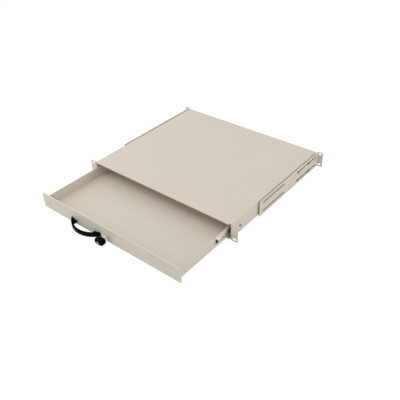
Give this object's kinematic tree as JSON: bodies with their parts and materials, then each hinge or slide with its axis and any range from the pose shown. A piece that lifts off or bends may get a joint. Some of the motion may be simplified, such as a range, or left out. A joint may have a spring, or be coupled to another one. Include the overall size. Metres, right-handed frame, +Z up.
{
  "type": "rack keyboard drawer",
  "caption": "Flat rack case with a shallow sliding keyboard tray, pull handle, turn latch and adjustable rear mounting brackets.",
  "frame": {"origin": "centre of the four front ear slots, on the front face of the ears", "axes": "+X to the right seen from the front, +Y to the rear along the drawer's travel, +Z up"},
  "size_m": [0.4826, 0.606, 0.0436],
  "materials": {
    "cream_paint": "smooth satin powder coat, light beige",
    "zinc_plate": "bright zinc plate, slightly worn",
    "polished_steel": "polished",
    "dark_steel": "dark plated steel",
    "black_plastic": "moulded, half gloss, black",
    "black_rubber": "matt, black"
  },
  "bodies": {
    "case": {"case_shell": "cream_paint", "fixed_rail_left": "zinc_plate", "fixed_rail_right": "zinc_plate", "fixed_rail_screws": "dark_steel", "bracket_standoffs": "zinc_plate", "bracket_screws": "dark_steel"},
    "drawer": {"drawer_tray": "cream_paint", "front_panel": "cream_paint", "panel_screws": "zinc_plate", "panel_nuts": "zinc_plate", "running_rail_left": "zinc_plate", "running_rail_right": "zinc_plate", "running_rail_screws": "zinc_plate", "rail_end_stops": "black_rubber", "pull_handle": "black_plastic", "handle_screws": "zinc_plate", "latch_bush": "zinc_plate", "latch_bush_nut": "zinc_plate"},
    "cage_left": {"ball_cage_left": "zinc_plate", "slide_balls_left": "polished_steel"},
    "cage_right": {"ball_cage_right": "zinc_plate", "slide_balls_right": "polished_steel"},
    "bracket_left": {"rear_bracket_left": "cream_paint"},
    "bracket_right": {"rear_bracket_right": "cream_paint"},
    "latch": {"latch_shaft": "zinc_plate", "latch_knob": "black_plastic", "latch_knob_screw": "zinc_plate", "latch_cam": "zinc_plate", "latch_cam_nut": "zinc_plate"}
  },
  "joints": [
    {"name": "drawer_slide", "type": "slide", "parent": "case", "child": "drawer", "axis": [0, 1, 0], "range_m": [-0.0775, 0.1725]},
    {"name": "cage_left_roll", "type": "slide", "parent": "case", "child": "cage_left", "axis": [0, 1, 0], "range_m": [-0.03875, 0.08625]},
    {"name": "cage_right_roll", "type": "slide", "parent": "case", "child": "cage_right", "axis": [0, 1, 0], "range_m": [-0.03875, 0.08625]},
    {"name": "bracket_left_adjust", "type": "slide", "parent": "case", "child": "bracket_left", "axis": [0, 1, 0], "range_m": [-0.037, 0.001]},
    {"name": "bracket_right_adjust", "type": "slide", "parent": "case", "child": "bracket_right", "axis": [0, 1, 0], "range_m": [-0.037, 0.001]},
    {"name": "latch_turn", "type": "hinge", "parent": "drawer", "child": "latch", "pos_m": [0.002, -0.1705, -0.00635], "axis": [0, -1, 0], "range_deg": [0, 90]}
  ],
  "couplings": [
    {"joint": "cage_left_roll", "follows": "drawer_slide", "ratio": 0.5},
    {"joint": "cage_right_roll", "follows": "drawer_slide", "ratio": 0.5}
  ]
}
